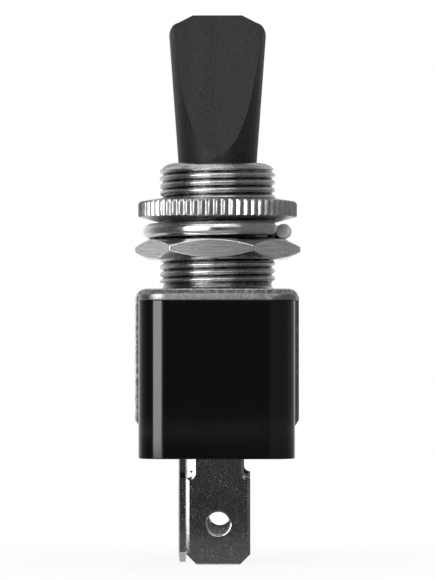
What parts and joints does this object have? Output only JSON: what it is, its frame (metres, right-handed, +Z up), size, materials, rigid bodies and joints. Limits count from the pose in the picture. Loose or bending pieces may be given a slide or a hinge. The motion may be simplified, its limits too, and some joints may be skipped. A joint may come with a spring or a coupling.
{
  "type": "panel toggle switch",
  "caption": "Panel toggle switch: black paddle lever in a threaded bushing with its nuts and lock washer, steel frame, moulded body and quick-connect tabs.",
  "frame": {"origin": "axis of the bushing at the top face of the mounting frame, where a panel backs on to it", "axes": "+Z up the bushing towards the lever, X across the narrow side of the body, Y along the body; the lever tilts about X"},
  "size_m": [0.0168, 0.028, 0.0554],
  "materials": {
    "lever_nylon": "black moulded plastic with a fine matte grain",
    "body_phenolic": "black moulded body with a smooth gloss",
    "nickel_plate": "bright nickel plate over turned brass",
    "nut_nickel": "dull nickel plate over a pressed hexagon",
    "washer_steel": "bright drawn spring wire",
    "plated_sheet": "plated sheet steel with sheared edges",
    "spring_steel": "drawn steel",
    "plunger_nylon": "natural nylon",
    "fibre": "vulcanised fibre sheet",
    "tinned_brass": "tin-plated brass, lightly pitted",
    "contact_silver": "silver contact metal",
    "saddle_brass": "plain stamped brass",
    "rocker_copper": "plain rolled copper"
  },
  "bodies": {
    "switch_body": {"housing": "body_phenolic", "mounting_frame": "plated_sheet", "cover_plate": "plated_sheet", "insulator_sheet": "fibre", "bushing": "nickel_plate", "pivot_pin": "spring_steel", "terminal_front": "tinned_brass", "terminal_centre": "tinned_brass", "terminal_back": "tinned_brass", "fixed_contact_front": "contact_silver", "fixed_contact_back": "contact_silver", "rocker_saddle": "saddle_brass", "saddle_rivet": "saddle_brass"},
    "lever": {"lever": "lever_nylon", "plunger_spring": "spring_steel"},
    "plunger": {"plunger": "plunger_nylon"},
    "rocker": {"rocker": "rocker_copper", "rocker_contact_front": "contact_silver", "rocker_contact_back": "contact_silver"},
    "lock_washer": {"lock_washer": "washer_steel"},
    "back_nut": {"hex_nut": "nut_nickel"},
    "face_nut": {"knurled_nut": "nickel_plate"}
  },
  "joints": [
    {"name": "lever_tilt", "type": "hinge", "parent": "switch_body", "child": "lever", "pos_m": [0, 0, 0.0103], "axis": [1, 0, 0], "range_deg": [-13, 13]},
    {"name": "plunger_travel", "type": "slide", "parent": "lever", "child": "plunger", "axis": [0, 0, 1], "range_m": [0, 0.0009], "stiffness_N_per_m": 300, "springref_m": -0.004, "deforming": ["plunger_spring"]},
    {"name": "rocker_tilt", "type": "hinge", "parent": "switch_body", "child": "rocker", "pos_m": [0, 0, -0.01071], "axis": [1, 0, 0], "range_deg": [-7, 7]},
    {"name": "back_nut_travel", "type": "slide", "parent": "switch_body", "child": "lock_washer", "axis": [0, 0, 1], "range_m": [-0.00225, 0]},
    {"name": "back_nut_turn", "type": "hinge", "parent": "lock_washer", "child": "back_nut", "pos_m": [0, 0, 0.004], "axis": [0, 0, 1], "range_deg": [-1081, 0]},
    {"name": "face_nut_run", "type": "slide", "parent": "switch_body", "child": "face_nut", "axis": [0, 0, 1], "range_m": [0, 0.0025]}
  ],
  "couplings": [
    {"joint": "rocker_tilt", "follows": "lever_tilt", "ratio": -0.53846},
    {"joint": "back_nut_turn", "follows": "back_nut_travel", "rad_per_m": 8377.6}
  ]
}
